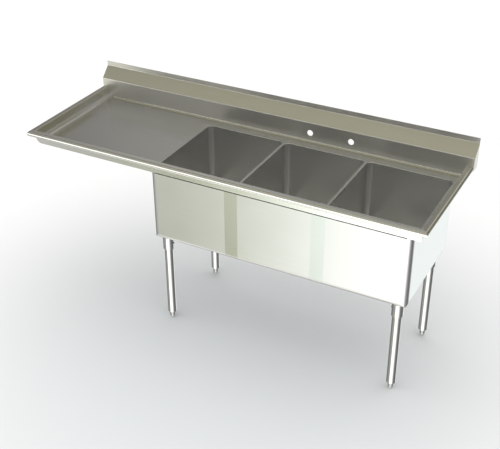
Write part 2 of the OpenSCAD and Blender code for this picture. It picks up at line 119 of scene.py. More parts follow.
class SinkParts(bpy.types.PropertyGroup):
    """Sizes of the small parts."""
    hole_d: length("Basket hole", 5, "Holes of the basket's main ring")
    small_hole_d: length("Small hole", 3.5, "Holes of the outer ring and of the basket's side")
    thread_pitch: length("Thread pitch", 2, "Pitch of the feet's threads")
    thread_depth: length("Thread depth", 1.1, "Depth of the feet's threads")
    bead: length("Weld bead", 2.4, "Half width of the weld beads at the leg sockets")
    strip: length("Joint strip", 62, "Width of the strips that close the seams between the bowls")
    fillet: length("Splash fillet", 10, "Radius of the ground weld between deck and splash")
    seam: length("Seam bead", 3, "Half width of the weld below the front rim")
    bead_pitch: length("Bead pitch", 2.6, "Distance between ripples of a weld bead")


class SinkStudio(bpy.types.PropertyGroup):
    """Camera, floor and light."""
    eye: bpy.props.FloatVectorProperty(
        name="Eye", description="Place of the camera", subtype="TRANSLATION", unit="LENGTH",
        default=(1.78683, -3.30843, 2.76376))
    yaw: bpy.props.FloatProperty(
        name="Yaw", description="Turn of the view to the left", subtype="ANGLE",
        default=math.radians(28.0323))
    pitch: bpy.props.FloatProperty(
        name="Pitch", description="Tilt of the view downwards", subtype="ANGLE",
        default=math.radians(31.5605))
    roll: bpy.props.FloatProperty(
        name="Roll", description="Lean of the view", subtype="ANGLE", default=math.radians(-0.3023))
    lens: bpy.props.FloatProperty(
        name="Lens", description="Focal length on a 36 mm sensor", subtype="DISTANCE_CAMERA",
        unit="CAMERA", default=67.8437)
    floor: colour("Floor", "#E8E8E8", "Plain pale floor")
    # Painted shadow: this darker, bluer floor colour is mixed in under the sink, where the sink shades
    # the floor
    floor_shadow: colour("Floor under the sink", "#D4D7D8", "Floor paper, a shade deeper")
    backdrop: colour("Backdrop", "#FAFAFA", "Plain pale wall of light behind the floor")
    daylight: bpy.props.FloatProperty(
        name="Daylight", description="Even light on what isn't metal", min=0, default=1.3)


def add(tree, kind, inputs=None, **settings):
    """Adds a node, sets its settings, and sets or links its inputs."""
    made = tree.nodes.new(kind)
    for key, value in settings.items():
        setattr(made, key, value)
    for key, value in (inputs or {}).items():
        if isinstance(value, bpy.types.NodeSocket):
            tree.links.new(value, made.inputs[key])
        else:
            made.inputs[key].default_value = value
    return made


def material(name):
    """Empty material with its tree and shader."""
    made = bpy.data.materials.new(name)
    made.use_nodes = True
    tree = made.node_tree
    return made, tree, tree.nodes["Principled BSDF"]


def shades(base, dark, light):
    """Two tones of a colour, as the ends of a mix."""
    return [[c * k for c in base] + [1] for k in (dark, light)]


def lined_metal(name, base, rough, lines_mm, run_mm, along, depth_mm, swing=0.05):
    """Metal with fine lines along one axis: colour, gloss and relief all follow them.

    The real lines are a tenth of a millimetre apart; lines_mm draws them coarse enough to show.
    """
    made, tree, shader = material(name)
    scale = [1 / (run_mm * MM) if axis in along else 1 / (lines_mm * MM) for axis in "xyz"]
    place = add(tree, "ShaderNodeTexCoord").outputs["Object"]
    stretch = add(tree, "ShaderNodeMapping", {"Vector": place, "Scale": scale})
    lines = add(tree, "ShaderNodeTexNoise", {
        "Vector": stretch.outputs["Vector"], "Scale": 1.0, "Detail": 3.0, "Roughness": 0.6})
    # Cloudy patches a hand wide, where the polishing belt pressed more or less
    patch_mm, patch_share = 111, 0.35
    cloud = add(tree, "ShaderNodeTexNoise", {
        "Vector": place, "Scale": 1 / (patch_mm * MM), "Detail": 2.0})
    both = add(tree, "ShaderNodeMix", {
        "Factor": patch_share, "A": lines.outputs["Fac"], "B": cloud.outputs["Fac"]},
        data_type="FLOAT")
    dark, light = shades(base, dark=0.94, light=1.05)
    tone = add(tree, "ShaderNodeMix", {
        "Factor": both.outputs["Result"], 6: dark, 7: light}, data_type="RGBA")
    # Noise keeps near the middle of its range, so that part spans the gloss
    gloss = add(tree, "ShaderNodeMapRange", {
        "Value": both.outputs["Result"], "From Min": 0.25, "From Max": 0.75,
        "To Min": rough - swing, "To Max": rough + swing})
    relief = add(tree, "ShaderNodeBump", {
        "Height": lines.outputs["Fac"], "Strength": 1.0, "Distance": depth_mm * MM})
    shader.inputs["Metallic"].default_value = 1.0
    tree.links.new(tone.outputs[2], shader.inputs["Base Color"])
    tree.links.new(gloss.outputs["Result"], shader.inputs["Roughness"])
    tree.links.new(relief.outputs["Normal"], shader.inputs["Normal"])
    return made


def grained(name, base, rough, grain_mm, dark, light, depth_mm, metallic=0.0):
    """Surface with an even grain: speckled in tone, gloss and relief."""
    swing = 0.05
    made, tree, shader = material(name)
    place = add(tree, "ShaderNodeTexCoord").outputs["Object"]
    grain = add(tree, "ShaderNodeTexNoise", {
        "Vector": place, "Scale": 1 / (grain_mm * MM), "Detail": 4.0, "Roughness": 0.65})
    low, high = shades(base, dark, light)
    tone = add(tree, "ShaderNodeMix", {
        "Factor": grain.outputs["Fac"], 6: low, 7: high}, data_type="RGBA")
    gloss = add(tree, "ShaderNodeMapRange", {
        "Value": grain.outputs["Fac"], "From Min": 0.3, "From Max": 0.7,
        "To Min": rough - swing, "To Max": rough + swing})
    relief = add(tree, "ShaderNodeBump", {
        "Height": grain.outputs["Fac"], "Strength": 1.0, "Distance": depth_mm * MM})
    shader.inputs["Metallic"].default_value = metallic
    tree.links.new(tone.outputs[2], shader.inputs["Base Color"])
    tree.links.new(gloss.outputs["Result"], shader.inputs["Roughness"])
    tree.links.new(relief.outputs["Normal"], shader.inputs["Normal"])
    return made


def dress(finish, *nodes):
    """Gives CAD nodes a material."""
    for name in nodes:
        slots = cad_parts[name].material_slots
        if not slots:
            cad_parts[name].data.materials.append(finish)
        for slot in slots:
            slot.material = finish


def lathe(name, profile, steps=96):
    """Mesh of a profile of (radius, height) points turned about Z."""
    shape = bmesh.new()
    rows = []
    for r, z in profile:
        if r == 0:
            rows.append([shape.verts.new((0, 0, z))])
            continue
        rows.append([shape.verts.new((r * math.cos(a), r * math.sin(a), z)) for a in full_turn(steps)])
    for one, two in zip(rows, rows[1:]):
        for k in range(steps):
            ring = (one[k % len(one)], one[(k + 1) % len(one)],
                    two[(k + 1) % len(two)], two[k % len(two)])
            corners = list(dict.fromkeys(ring))
            if len(corners) > 2:
                shape.faces.new(corners)
    bmesh.ops.recalc_face_normals(shape, faces=shape.faces)
    mesh = bpy.data.meshes.new(name)
    shape.to_mesh(mesh)
    shape.free()
    return mesh


def scaled(profile):
    """Profile in metres from one in millimetres."""
    return [(r * MM, z * MM) for r, z in profile]


def prism(name, section, x0, x1):
    """Closed mesh of a section of (y, z) points drawn out along X."""
    count = len(section)
    points = [(x, y, z) for x in (x0, x1) for y, z in section]
    faces = [(k, (k + 1) % count, count + (k + 1) % count, count + k) for k in range(count)]
    faces += [tuple(range(count)), tuple(range(count, 2 * count))]
    mesh = bpy.data.meshes.new(name)
    mesh.from_pydata(points, [], faces)
    shape = bmesh.new()
    shape.from_mesh(mesh)
    bmesh.ops.recalc_face_normals(shape, faces=shape.faces)
    shape.to_mesh(mesh)
    shape.free()
    return mesh


def show(name, mesh):
    """Object for a mesh, in the scene at the origin."""
    made = bpy.data.objects.new(name, mesh)
    bpy.context.scene.collection.objects.link(made)
    return made


def soften(mesh, angle):
    """Smooth shading with edges sharper than an angle kept hard."""
    mesh.shade_smooth()
    mesh.set_sharp_from_angle(angle=math.radians(angle))


def grow(name, mesh, tree, values):
    """Runs a Geometry Nodes tree on a mesh and keeps the result as a plain mesh."""
    seed = show(name + "_seed", mesh)
    change = seed.modifiers.new("grow", "NODES")
    change.node_group = tree
    for socket in tree.interface.items_tree:
        if socket.item_type == "SOCKET" and socket.in_out == "INPUT" and socket.name in values:
            change[socket.identifier] = values[socket.name]
    seen = seed.evaluated_get(bpy.context.evaluated_depsgraph_get())
    result = bpy.data.meshes.new_from_object(seen)
    seed.modifiers.clear()
    bpy.data.objects.remove(seed)
    if not result.polygons:
        raise RuntimeError(name + " came out empty")
    result.name = name
    return result


def tree_with(name, sockets):
    """Geometry Nodes tree with named inputs, its group input and its group output."""
    tree = bpy.data.node_groups.new(name, "GeometryNodeTree")
    tree.interface.new_socket("Geometry", in_out="INPUT", socket_type="NodeSocketGeometry")
    for label, kind in sockets:
        tree.interface.new_socket(label, in_out="INPUT", socket_type="NodeSocket" + kind)
    tree.interface.new_socket("Geometry", in_out="OUTPUT", socket_type="NodeSocketGeometry")
    return tree, add(tree, "NodeGroupInput").outputs


def end_tree(tree, geometry, finish):
    """Ends a tree in plain geometry with a material."""
    plain = add(tree, "GeometryNodeRealizeInstances", {"Geometry": geometry})
    dressed = add(tree, "GeometryNodeSetMaterial", {
        "Geometry": plain.outputs["Geometry"], "Material": finish})
    add(tree, "NodeGroupOutput", {"Geometry": dressed.outputs["Geometry"]})


def perforation_tree():
    """Cuts a main ring, an outer ring and a band of holes into a basket that stands on z = 0."""
    tree, given = tree_with("basket_perforation", [
        ("Hole Diameter", "Float"), ("Small Diameter", "Float"), ("Ring Radius", "Float"),
        ("Outer Radius", "Float"), ("Side Radius", "Float"), ("Side Height", "Float"),
        ("Count", "Int"), ("Material", "Material")])
    drill_sides, drill_length = 20, 8 * MM
    cutters = add(tree, "GeometryNodeJoinGeometry")
    double = add(tree, "ShaderNodeMath", {0: given["Count"], 1: 2.0}, operation="MULTIPLY")
    rows = (("Ring Radius", "Hole Diameter", given["Count"], False),
            ("Outer Radius", "Small Diameter", double.outputs[0], False),
            ("Side Radius", "Small Diameter", double.outputs[0], True))
    for radius, width, count, sideways in rows:
        half = add(tree, "ShaderNodeMath", {0: given[width], 1: 0.5}, operation="MULTIPLY")
        drill = add(tree, "GeometryNodeMeshCylinder", {
            "Vertices": drill_sides, "Radius": half.outputs[0], "Depth": drill_length})
        ring = add(tree, "GeometryNodeMeshCircle", {"Vertices": count, "Radius": given[radius]})
        points = ring.outputs["Mesh"]
        inputs = {"Instance": drill.outputs["Mesh"]}
        if sideways:
            lift = add(tree, "ShaderNodeCombineXYZ", {"Z": given["Side Height"]})
            raised = add(tree, "GeometryNodeTransform", {
                "Geometry": points, "Translation": lift.outputs["Vector"]})
            points = raised.outputs["Geometry"]
            spot = add(tree, "GeometryNodeInputPosition")
            flat = add(tree, "ShaderNodeVectorMath", {
                0: spot.outputs["Position"], 1: (1, 1, 0)}, operation="MULTIPLY")
            aim = add(tree, "FunctionNodeAlignRotationToVector", {
                "Vector": flat.outputs["Vector"]}, axis="Z")
            inputs["Rotation"] = aim.outputs["Rotation"]
        placed = add(tree, "GeometryNodeInstanceOnPoints", {"Points": points, **inputs})
        tree.links.new(placed.outputs["Instances"], cutters.inputs["Geometry"])
    solid = add(tree, "GeometryNodeRealizeInstances", {"Geometry": cutters.outputs["Geometry"]})
    cut = add(tree, "GeometryNodeMeshBoolean", {
        0: given["Geometry"], 1: solid.outputs["Geometry"]}, operation="DIFFERENCE")
    end_tree(tree, cut.outputs["Mesh"], given["Material"])
    return tree


def thread_tree():
    """Winds a round-crested thread onto a foot, from Start upwards."""
    tree, given = tree_with("foot_thread", [
        ("Radius", "Float"), ("Depth", "Float"), ("Pitch", "Float"), ("Length", "Float"),
        ("Start", "Float"), ("Material", "Material")])
    steps_per_turn, crest_sides = 40, 8
    half = add(tree, "ShaderNodeMath", {0: given["Depth"], 1: 0.5}, operation="MULTIPLY")
    mean = add(tree, "ShaderNodeMath", {
        0: given["Radius"], 1: half.outputs[0]}, operation="SUBTRACT")
    turns = add(tree, "ShaderNodeMath", {
        0: given["Length"], 1: given["Pitch"]}, operation="DIVIDE")
    wind = add(tree, "GeometryNodeCurveSpiral", {
        "Resolution": steps_per_turn, "Rotations": turns.outputs[0],
        "Start Radius": mean.outputs[0], "End Radius": mean.outputs[0], "Height": given["Length"]})
    crest = add(tree, "GeometryNodeCurvePrimitiveCircle", {
        "Resolution": crest_sides, "Radius": half.outputs[0]}, mode="RADIUS")
    ridge = add(tree, "GeometryNodeCurveToMesh", {
        "Curve": wind.outputs["Curve"], "Profile Curve": crest.outputs["Curve"], "Fill Caps": True})
    lift = add(tree, "ShaderNodeCombineXYZ", {"Z": given["Start"]})
    raised = add(tree, "GeometryNodeTransform", {
        "Geometry": ridge.outputs["Mesh"], "Translation": lift.outputs["Vector"]})
    smooth = add(tree, "GeometryNodeSetShadeSmooth", {"Geometry": raised.outputs["Geometry"]})
    joined = add(tree, "GeometryNodeJoinGeometry")
    for part in (smooth.outputs["Geometry"], given["Geometry"]):
        tree.links.new(part, joined.inputs["Geometry"])
    end_tree(tree, joined.outputs["Geometry"], given["Material"])
    return tree


def bead_tree():
    """Lays a rippled weld bead along every edge path of a mesh."""
    tree, given = tree_with("weld_bead", [
        ("Half Width", "Float"), ("Ripple Pitch", "Float"), ("Material", "Material")])
    path = add(tree, "GeometryNodeMeshToCurve", {"Mesh": given["Geometry"]})
    steps = add(tree, "GeometryNodeResampleCurve", {
        "Curve": path.outputs["Curve"], "Length": given["Ripple Pitch"]}, mode="LENGTH")
    blob = add(tree, "GeometryNodeMeshIcoSphere", {
        "Radius": given["Half Width"], "Subdivisions": 2})
    smallest, largest, seed = 0.86, 1.0, 7
    size = add(tree, "FunctionNodeRandomValue", {
        2: smallest, 3: largest, "Seed": seed}, data_type="FLOAT")
    placed = add(tree, "GeometryNodeInstanceOnPoints", {
        "Points": steps.outputs["Curve"], "Instance": blob.outputs["Mesh"],
        "Scale": size.outputs[1]})
    smooth = add(tree, "GeometryNodeSetShadeSmooth", {"Geometry": placed.outputs["Instances"]})
    end_tree(tree, smooth.outputs["Geometry"], given["Material"])
    return tree


def paths_mesh(name, paths):
    """Mesh of loose edge paths; each is (points, closed)."""
    points, edges = [], []
    for path, closed in paths:
        first = len(points)
        points += path
        last = len(path) if closed else len(path) - 1
        edges += [(first + k, first + (k + 1) % len(path)) for k in range(last)]
    mesh = bpy.data.meshes.new(name)
    mesh.from_pydata(points, edges, [])
    return mesh


def round_path(x, y, z, r, steps=48):
    """Closed circle of points."""
    return [(x + r * math.cos(a), y + r * math.sin(a), z) for a in full_turn(steps)], True


class SINK_OT_rims(bpy.types.Operator):
    """Brush the rolled rims along their length"""
    bl_idname = "sink.rims"
    bl_label = "Rims"

    def execute(self, context):
        look = context.scene.sink_finish
        # Stainless sheet, roll formed and belt brushed: soft streaks that run with the rim
        dress(lined_metal("stainless_brushed_front_rim", look.rim, look.sheet_roughness, lines_mm=3,
                          run_mm=220, along="x", depth_mm=0.002, swing=0.02), "front_rim")
        # Painted shade: the end rims get a darker colour than the front rim of the same stainless
        dress(lined_metal("stainless_brushed_end_rim", look.shaded_end_rim, look.sheet_roughness, lines_mm=3,
                          run_mm=220, along="y", depth_mm=0.002, swing=0.02),
              "left_rim", "right_rim")
        return {"FINISHED"}


class SINK_OT_deck(bpy.types.Operator):
    """Finish the drainboard, the bowl deck and the stiffener"""
    bl_idname = "sink.deck"
    bl_label = "Deck and drainboard"

    def execute(self, context):
        look = context.scene.sink_finish
        # Stainless sheet, satin brushed along the sink: even grey with long faint streaks
        dress(lined_metal("stainless_satin_deck", look.sheet, look.sheet_roughness, lines_mm=3,
                          run_mm=260, along="x", depth_mm=0.002, swing=0.02),
              "drainboard", "bowl_deck")
        # Stainless as it left the mill: cloudy, duller and without lines
        dress(grained("stainless_mill_finish", look.seam, rough=0.38, grain_mm=6, dark=0.86, light=1.04,
                      depth_mm=0.02, metallic=1.0), "drainboard_stiffener")
        return {"FINISHED"}


# Tone of each ground strip against the colour of the seam, as painted light: the strips differ, and the
# front right one is lighter and bluer, for the reflections that fall on each
STRIP_PAINTED_LIGHT = {
    "front_left": (1.18, 1.18, 1.18), "front_right": (1.33, 1.37, 1.48),
    "rear_left": (1.35, 1.35, 1.35), "rear_right": (1.35, 1.35, 1.35)}


class SINK_OT_bowls(bpy.types.Operator):
    """Finish the bowls and the strips that join them"""
    bl_idname = "sink.bowls"
    bl_label = "Bowls and joint strips"

    def execute(self, context):
        look = context.scene.sink_finish
        # Stainless sheet, welded up and brushed level: soft horizontal streaks
        dress(lined_metal("stainless_satin_bowl", look.bowl, look.sheet_roughness + 0.05, lines_mm=3,
                          run_mm=240, along="xy", depth_mm=0.002, swing=0.02),
              *[n + "_bowl" for n in BOWLS])
        for place, tone in STRIP_PAINTED_LIGHT.items():
            self.strip(look, context.scene.sink_parts.strip / 2, place, tone)
        return {"FINISHED"}

    def strip(self, look, half_w, place, tone):
        """Band that runs down the bowls' wall, round their corner and a little way under them."""
        # Weld seam ground flush: short scratches across the strip, a shade darker than the bowls; each
        # strip's own tone on top is painted light
        finish = lined_metal("stainless_ground_seam_" + place,
                             [c * k for c, k in zip(look.seam, tone)], look.sheet_roughness + 0.04,
                             lines_mm=2, run_mm=40, along="x", depth_mm=0.0004, swing=0.01)
        corner_r, under, proud, thick = 25.6 * MM, 20 * MM, 0.25 * MM, 0.8 * MM
        node = place + "_joint_strip"
        low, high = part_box(node)
        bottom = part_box("front_left_joint_strip")[0][2]
        face, side = (low[1], 1) if place.startswith("front") else (high[1], -1)
        rows = []
        for r in (corner_r + proud, corner_r + proud - thick):
            out = r - corner_r
            bend = [(corner_r - r * math.cos(a), bottom + corner_r - r * math.sin(a))
                    for a in quarter(12)]
            rows.append([(-out, high[2]), *bend, (corner_r + under, bottom - out)])
        section = rows[0] + rows[1][::-1]
        mid = centre(node).x
        mesh = prism(node + "_band", [(face + side * u, z) for u, z in section],
                     mid - half_w, mid + half_w)
        soften(mesh, angle=30)
        mesh.materials.append(finish)
        piece = show(node + "_band", mesh)
        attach(piece, "sink")
        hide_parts(node)


class SINK_OT_seam(bpy.types.Operator):
    """Weld the bowls to the front rim, and the deck to the splash"""
    bl_idname = "sink.seam"
    bl_label = "Welded seams"

    def execute(self, context):
        look = context.scene.sink_finish
        parts = context.scene.sink_parts
        self.front_weld(look, parts)
        self.splash_fillet(look, parts)
        return {"FINISHED"}

    def front_weld(self, look, parts):
        """Dark bead below the front rim, between the outer corners of the bowls: its colour is painted
        shade for the shadow line under the rim.
        """
        # Stainless weld, left as laid and rippled, coloured near black as painted shade for the shadow
        # line under the front rim
        weld = grained("stainless_seam_weld", look.rim_shadow_weld, rough=0.45, grain_mm=2.5, dark=0.8,
                       light=1.1, depth_mm=0.02, metallic=1.0)
        below_rim, before_wall, corner = 0.8 * MM, 0.2 * MM, 26 * MM
        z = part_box("front_rim")[0][2] - below_rim
        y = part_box("left_bowl")[0][1] - before_wall
        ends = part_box("left_bowl")[0][0] + corner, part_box("right_bowl")[1][0] - corner
        path = paths_mesh("front_seam_path", [([(x, y, z) for x in ends], False)])
        bead = show("front_seam_weld", grow("front_seam_weld", path, bead_tree(), {
            "Half Width": parts.seam, "Ripple Pitch": parts.bead_pitch, "Material": weld}))
        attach(bead, "sink")

    def splash_fillet(self, look, parts):
        """Fillet where the deck meets the splash, from the left cove to the right rim."""
        # Stainless weld ground to a fillet: a smooth line that catches the light of the slope
        ground = lined_metal("stainless_ground_fillet", look.splash, rough=0.26, lines_mm=2, run_mm=120,
                             along="x", depth_mm=0.002, swing=0.02)
        r, sheet, cove = parts.fillet, 1.6 * MM, 25 * MM
        y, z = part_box("backsplash")[0][1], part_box("drainboard_stiffener")[1][2] + sheet
        hollow = [(y - r + r * math.sin(a), z + r - r * math.cos(a)) for a in quarter(10)]
        mesh = prism("splash_fillet_weld", [(y, z), *hollow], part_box("left_rim")[1][0] + cove,
                     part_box("right_rim")[0][0])
        soften(mesh, angle=30)
        mesh.materials.append(ground)
        fillet = show("splash_fillet_weld", mesh)
        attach(fillet, "sink")


class SINK_OT_splash(bpy.types.Operator):
    """Brush the splash and its end plates"""
    bl_idname = "sink.splash"
    bl_label = "Splash"

    def execute(self, context):
        look = context.scene.sink_finish
        # Stainless sheet, press braked and satin brushed: warm grey with long faint streaks
        dress(lined_metal("stainless_satin_splash", look.splash, look.sheet_roughness + 0.1, lines_mm=3,
                          run_mm=260, along="x", depth_mm=0.004),
              "backsplash", "left_splash_end", "right_splash_end")
        return {"FINISHED"}


class SINK_OT_legs(bpy.types.Operator):
    """Finish the legs, sockets, inserts and set screws, and weld the sockets on"""
    bl_idname = "sink.legs"
    bl_label = "Legs"

    def execute(self, context):
        look = context.scene.sink_finish
        # Drawn stainless tube, polished: mirror-like with faint lines along the tube
        dress(lined_metal("stainless_polished_tube", look.tube, rough=0.16, lines_mm=2, run_mm=300,
                          along="z", depth_mm=0.002, swing=0.03), *[n + "_leg" for n in LEGS])
        # Turned stainless: fine rings round the socket
        dress(lined_metal("stainless_turned_socket", look.tube, rough=0.2, lines_mm=1.2, run_mm=60,
                          along="xy", depth_mm=0.003, swing=0.03), *[n + "_socket" for n in LEGS])
        # Zinc plated steel, turned: grey with fine rings
        dress(lined_metal("zinc_plated_insert", look.foot, rough=0.36, lines_mm=1.2, run_mm=60,
                          along="xy", depth_mm=0.006), *[n + "_insert" for n in LEGS])
        # Hardened steel, oil blackened: dark with a dull shine
        dress(grained("steel_oil_blackened", look.screw, rough=0.42, grain_mm=1.5, dark=0.75,
                      light=1.15, depth_mm=0.01, metallic=1.0), "socket_set_screws")
        self.welds(look, context.scene.sink_parts)
        return {"FINISHED"}

    def welds(self, look, parts):
        """Beads round the tops of the sockets."""
        # Stainless weld, left as laid: rippled, with dull straw-grey heat tint
        weld = grained("stainless_weld_bead", look.weld, rough=0.34, grain_mm=2.5, dark=0.8, light=1.08,
                       depth_mm=0.02, metallic=1.0)
        below_top = 1.2 * MM
        paths = []
        for name in LEGS:
            low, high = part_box(name + "_socket")
            mid = centre(name + "_socket")
            paths.append(round_path(mid.x, mid.y, high[2] - below_top, (high[1] - low[1]) / 2))
        rings = paths_mesh("socket_weld_paths", paths)
        beads = show("socket_welds", grow("socket_welds", rings, bead_tree(), {
            "Half Width": parts.bead, "Ripple Pitch": parts.bead_pitch, "Material": weld}))
        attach(beads, "sink")


class SINK_OT_feet(bpy.types.Operator):
    """Make the bullet feet with their threaded stems"""
    bl_idname = "sink.feet"
    bl_label = "Feet"

    def execute(self, context):
        look = context.scene.sink_finish
        parts = context.scene.sink_parts
        # Turned metal, satin: soft grey with fine rings round the foot
        finish = lined_metal("turned_metal_foot", look.foot, rough=0.3, lines_mm=1.2, run_mm=60,
                             along="xy", depth_mm=0.006)
        tree = thread_tree()
        # Radii and heights in millimetres, from the floor up
        body_h, side_h, tip_r, top_r, edge, stem_r = 36.7, 27.5, 7.5, 12.5, 2, 8
        cut, groove_low, groove_high, slope = 0.8, 6, 3.8, 0.6
        run_out, stem_edge, stem_edge_h = 2, 0.6, 1
        core_r = stem_r - parts.thread_depth / MM
        # The ridge is a tube sunk into the stem, so it is wider than the thread is deep
        ridge = parts.thread_depth * 1.6
        side = [(tip_r + (top_r - tip_r) * math.sin(a), edge + (side_h - edge) * (1 - math.cos(a)))
                for a in quarter(14)]
        # The groove lies below the collar, whose upper edge is cut as deep as the groove
        groove = [(top_r, body_h - groove_low), (top_r - cut, body_h - groove_low + slope),
                  (top_r - cut, body_h - groove_high - slope), (top_r, body_h - groove_high),
                  (top_r, body_h - cut), (top_r - cut, body_h)]
        for name in LEGS:
            low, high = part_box(name + "_foot")
            mid = centre(name + "_foot")
            top = high[2] / MM
            stem = [(core_r, body_h), (core_r, top - stem_edge_h), (core_r - stem_edge, top), (0, top)]
            profile = [(0, 0), (tip_r - edge, 0)] + side + groove + stem
            mesh = lathe(name + "_foot_body", scaled(profile))
            soften(mesh, angle=28)
            made = grow(name + "_foot_threaded", mesh, tree, {
                "Radius": stem_r * MM, "Depth": ridge, "Pitch": parts.thread_pitch,
                "Length": (top - body_h - 2 * run_out) * MM, "Start": (body_h + run_out) * MM,
                "Material": finish})
            made.transform(Matrix.Translation((mid.x, mid.y, low[2])))
            piece = show(name + "_foot_threaded", made)
            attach(piece, name + "_foot")
            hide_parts(name + "_foot")
        return {"FINISHED"}


class SINK_OT_drains(bpy.types.Operator):
    """Finish the drain cups, seals, nuts and tailpieces"""
    bl_idname = "sink.drains"
    bl_label = "Drains"

    def execute(self, context):
        look = context.scene.sink_finish
        # Chrome plate on pressed brass: mirror with a faint orange peel
        dress(grained("chrome_plate_drain", look.chrome, rough=0.1, grain_mm=14, dark=0.97, light=1.02,
                      depth_mm=0.01, metallic=1.0),
              *[n + part for n in BOWLS for part in ("_drain_cup", "_tailpiece")])
        # Moulded rubber: matt black with a bloom of grey
        dress(grained("rubber_moulded", look.rubber, rough=0.62, grain_mm=3, dark=0.7, light=1.5,
                      depth_mm=0.03),
              *[n + part for n in BOWLS for part in ("_gasket", "_stopper")])
        # Pressed fibre: brown card with flecks
        dress(grained("fibre_pressed", look.fibre, rough=0.7, grain_mm=1.5, dark=0.65, light=1.2,
                      depth_mm=0.05), *[n + "_friction_washer" for n in BOWLS])
        # Cast brass, machined: dull yellow with fine grain
        dress(grained("brass_cast_nut", look.brass, rough=0.34, grain_mm=2, dark=0.8, light=1.08,
                      depth_mm=0.03, metallic=1.0),
              *[n + part for n in BOWLS for part in ("_locknut", "_coupling_nut")])
        return {"FINISHED"}


class SINK_OT_baskets(bpy.types.Operator):
    """Make the strainer baskets with their holes"""
    bl_idname = "sink.baskets"
    bl_label = "Strainer baskets"

    def execute(self, context):
        look = context.scene.sink_finish
        parts = context.scene.sink_parts
        # Stainless, deep drawn and polished: bright with faint rings
        finish = lined_metal("stainless_polished_basket", look.tube, rough=0.18, lines_mm=1.5,
                             run_mm=60, along="xy", depth_mm=0.004)
        tree = perforation_tree()
        # Radii and heights in millimetres, from the underside up
        dish_r, rim_r, wall, deep, rim_t, edge, bend = 38.1, 41.1, 1.2, 24, 2, 0.6, 2
        ring_r, outer_r, side_h, count = 25.9, 32, 13, 12
        post_r, knob_r, knob_h, post_foot, knob_edge, knob_bevel = 3, 9, 8, 2, 0.8, 2.5
        # Along the underside, up the outside, over the rim and down the inside to the hollow's bend
        dish = [
            (0, 0), (dish_r - bend, 0), (dish_r - edge, edge), (dish_r, bend), (dish_r, deep),
            (rim_r - edge, deep), (rim_r, deep + edge), (rim_r, deep + rim_t - edge),
            (rim_r - edge, deep + rim_t), (dish_r - wall + edge, deep + rim_t),
            (dish_r - wall, deep + rim_t - edge), (dish_r - wall, wall + 1.4),
            (dish_r - wall - 0.4, wall + 0.5), (dish_r - wall - 1.2, wall), (0, wall)]
        for name in BOWLS:
            low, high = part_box(name + "_basket_knob")
            mid = centre(name + "_basket")
            top = (high[2] - low[2]) / MM
            knob = top - knob_h
            stalk = [
                (0, 0), (post_r + post_foot, 0), (post_r + edge, edge), (post_r, post_foot),
                (post_r, knob), (knob_r - knob_bevel, knob), (knob_r - knob_edge, knob + knob_edge),
                (knob_r, knob + knob_bevel), (knob_r, top - knob_bevel),
                (knob_r - knob_edge, top - knob_edge), (knob_r - knob_bevel, top), (0, top)]
            plain = lathe(name + "_dish", scaled(dish), steps=72)
            holes = grow(name + "_basket_perforated", plain, tree, {
                "Hole Diameter": parts.hole_d, "Small Diameter": parts.small_hole_d,
                "Ring Radius": ring_r * MM, "Outer Radius": outer_r * MM,
                "Side Radius": (dish_r - wall / 2) * MM, "Side Height": side_h * MM, "Count": count,
                "Material": finish})
            turned = lathe(name + "_basket_knob_turned", scaled(stalk), steps=48)
            turned.materials.append(finish)
            for mesh, node in ((holes, name + "_basket"), (turned, name + "_basket_knob")):
                soften(mesh, angle=30)
                mesh.transform(Matrix.Translation((mid.x, mid.y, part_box(node)[0][2])))
                piece = show(mesh.name, mesh)
                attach(piece, name + "_basket")
                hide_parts(node)
        return {"FINISHED"}


# Tints of the studio's light
TINTS = {
    "white": (1, 1, 1), "khaki": (1, 0.955, 0.64), "lime": (0.95, 1, 0.48), "ice": (0.95, 1, 1),
    "warm": (1, 0.985, 0.92), "mint": (0.88, 1, 0.88)}

